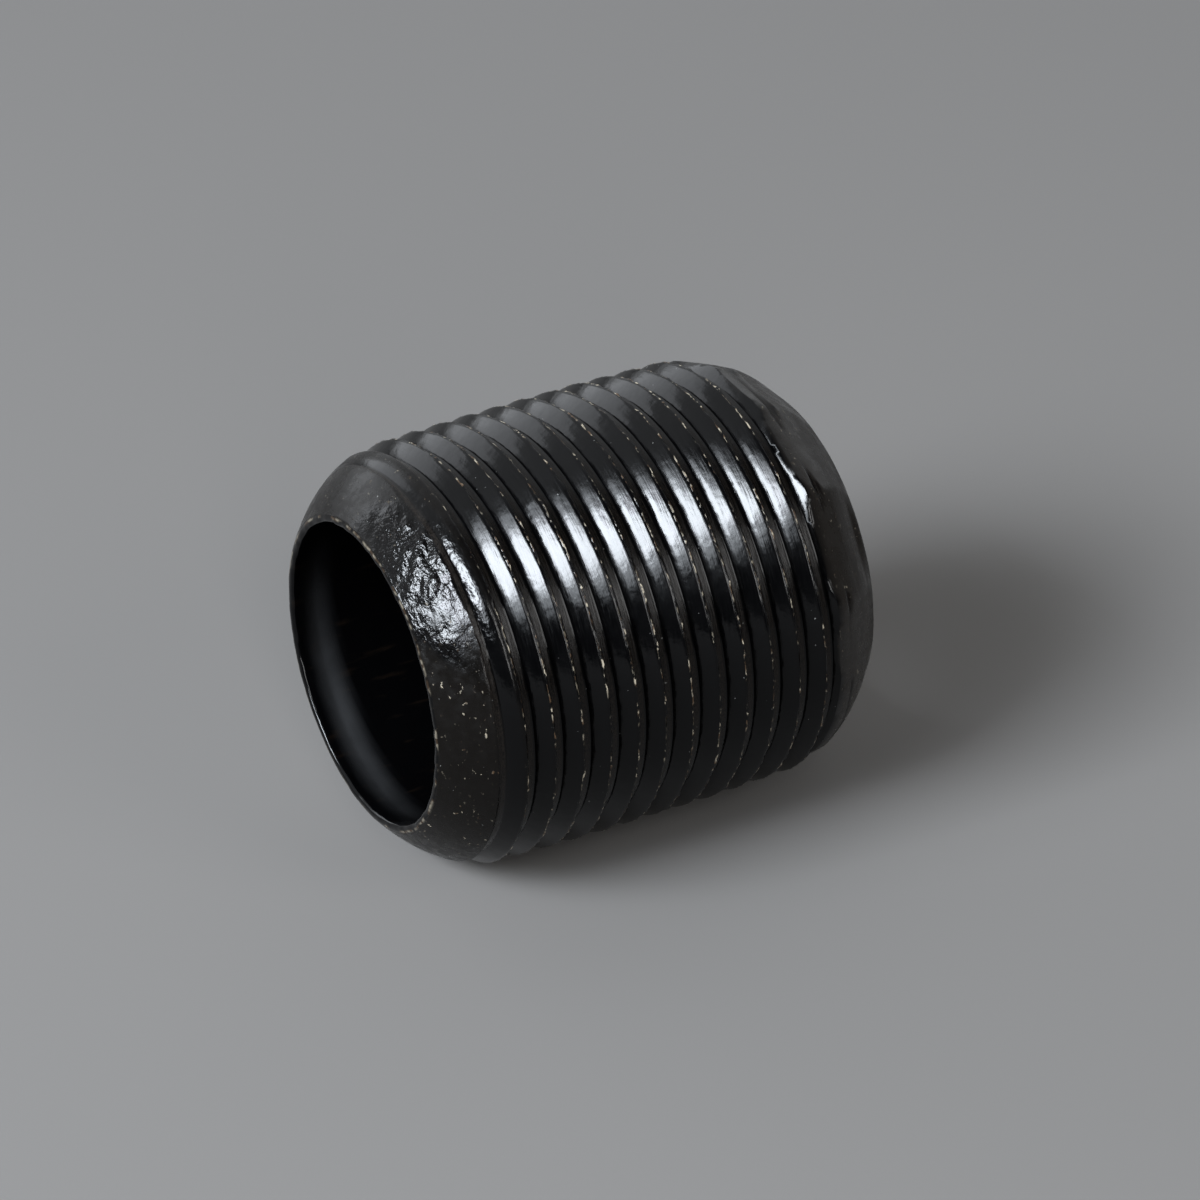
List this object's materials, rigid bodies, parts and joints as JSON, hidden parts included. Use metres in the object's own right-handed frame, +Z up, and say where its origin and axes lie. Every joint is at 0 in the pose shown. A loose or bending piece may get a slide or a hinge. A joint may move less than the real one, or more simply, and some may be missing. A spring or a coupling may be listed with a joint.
{
  "type": "pipe nipple",
  "caption": "Close pipe nipple: a short black-lacquered steel pipe with a right-hand tapered pipe thread over its whole outside, chamfered ends and a plain through bore.",
  "frame": {"origin": "on the pipe's axis, halfway between the two end faces", "axes": "+X along the pipe's axis, +Z up with the nipple lying on its side; the right-hand thread advances along +X as it turns from +Y to +Z"},
  "size_m": [0.0374, 0.0332, 0.0332],
  "materials": {
    "black_lacquer": "gloss"
  },
  "bodies": {
    "root": {"pipe_nipple": "black_lacquer"}
  },
  "joints": []
}
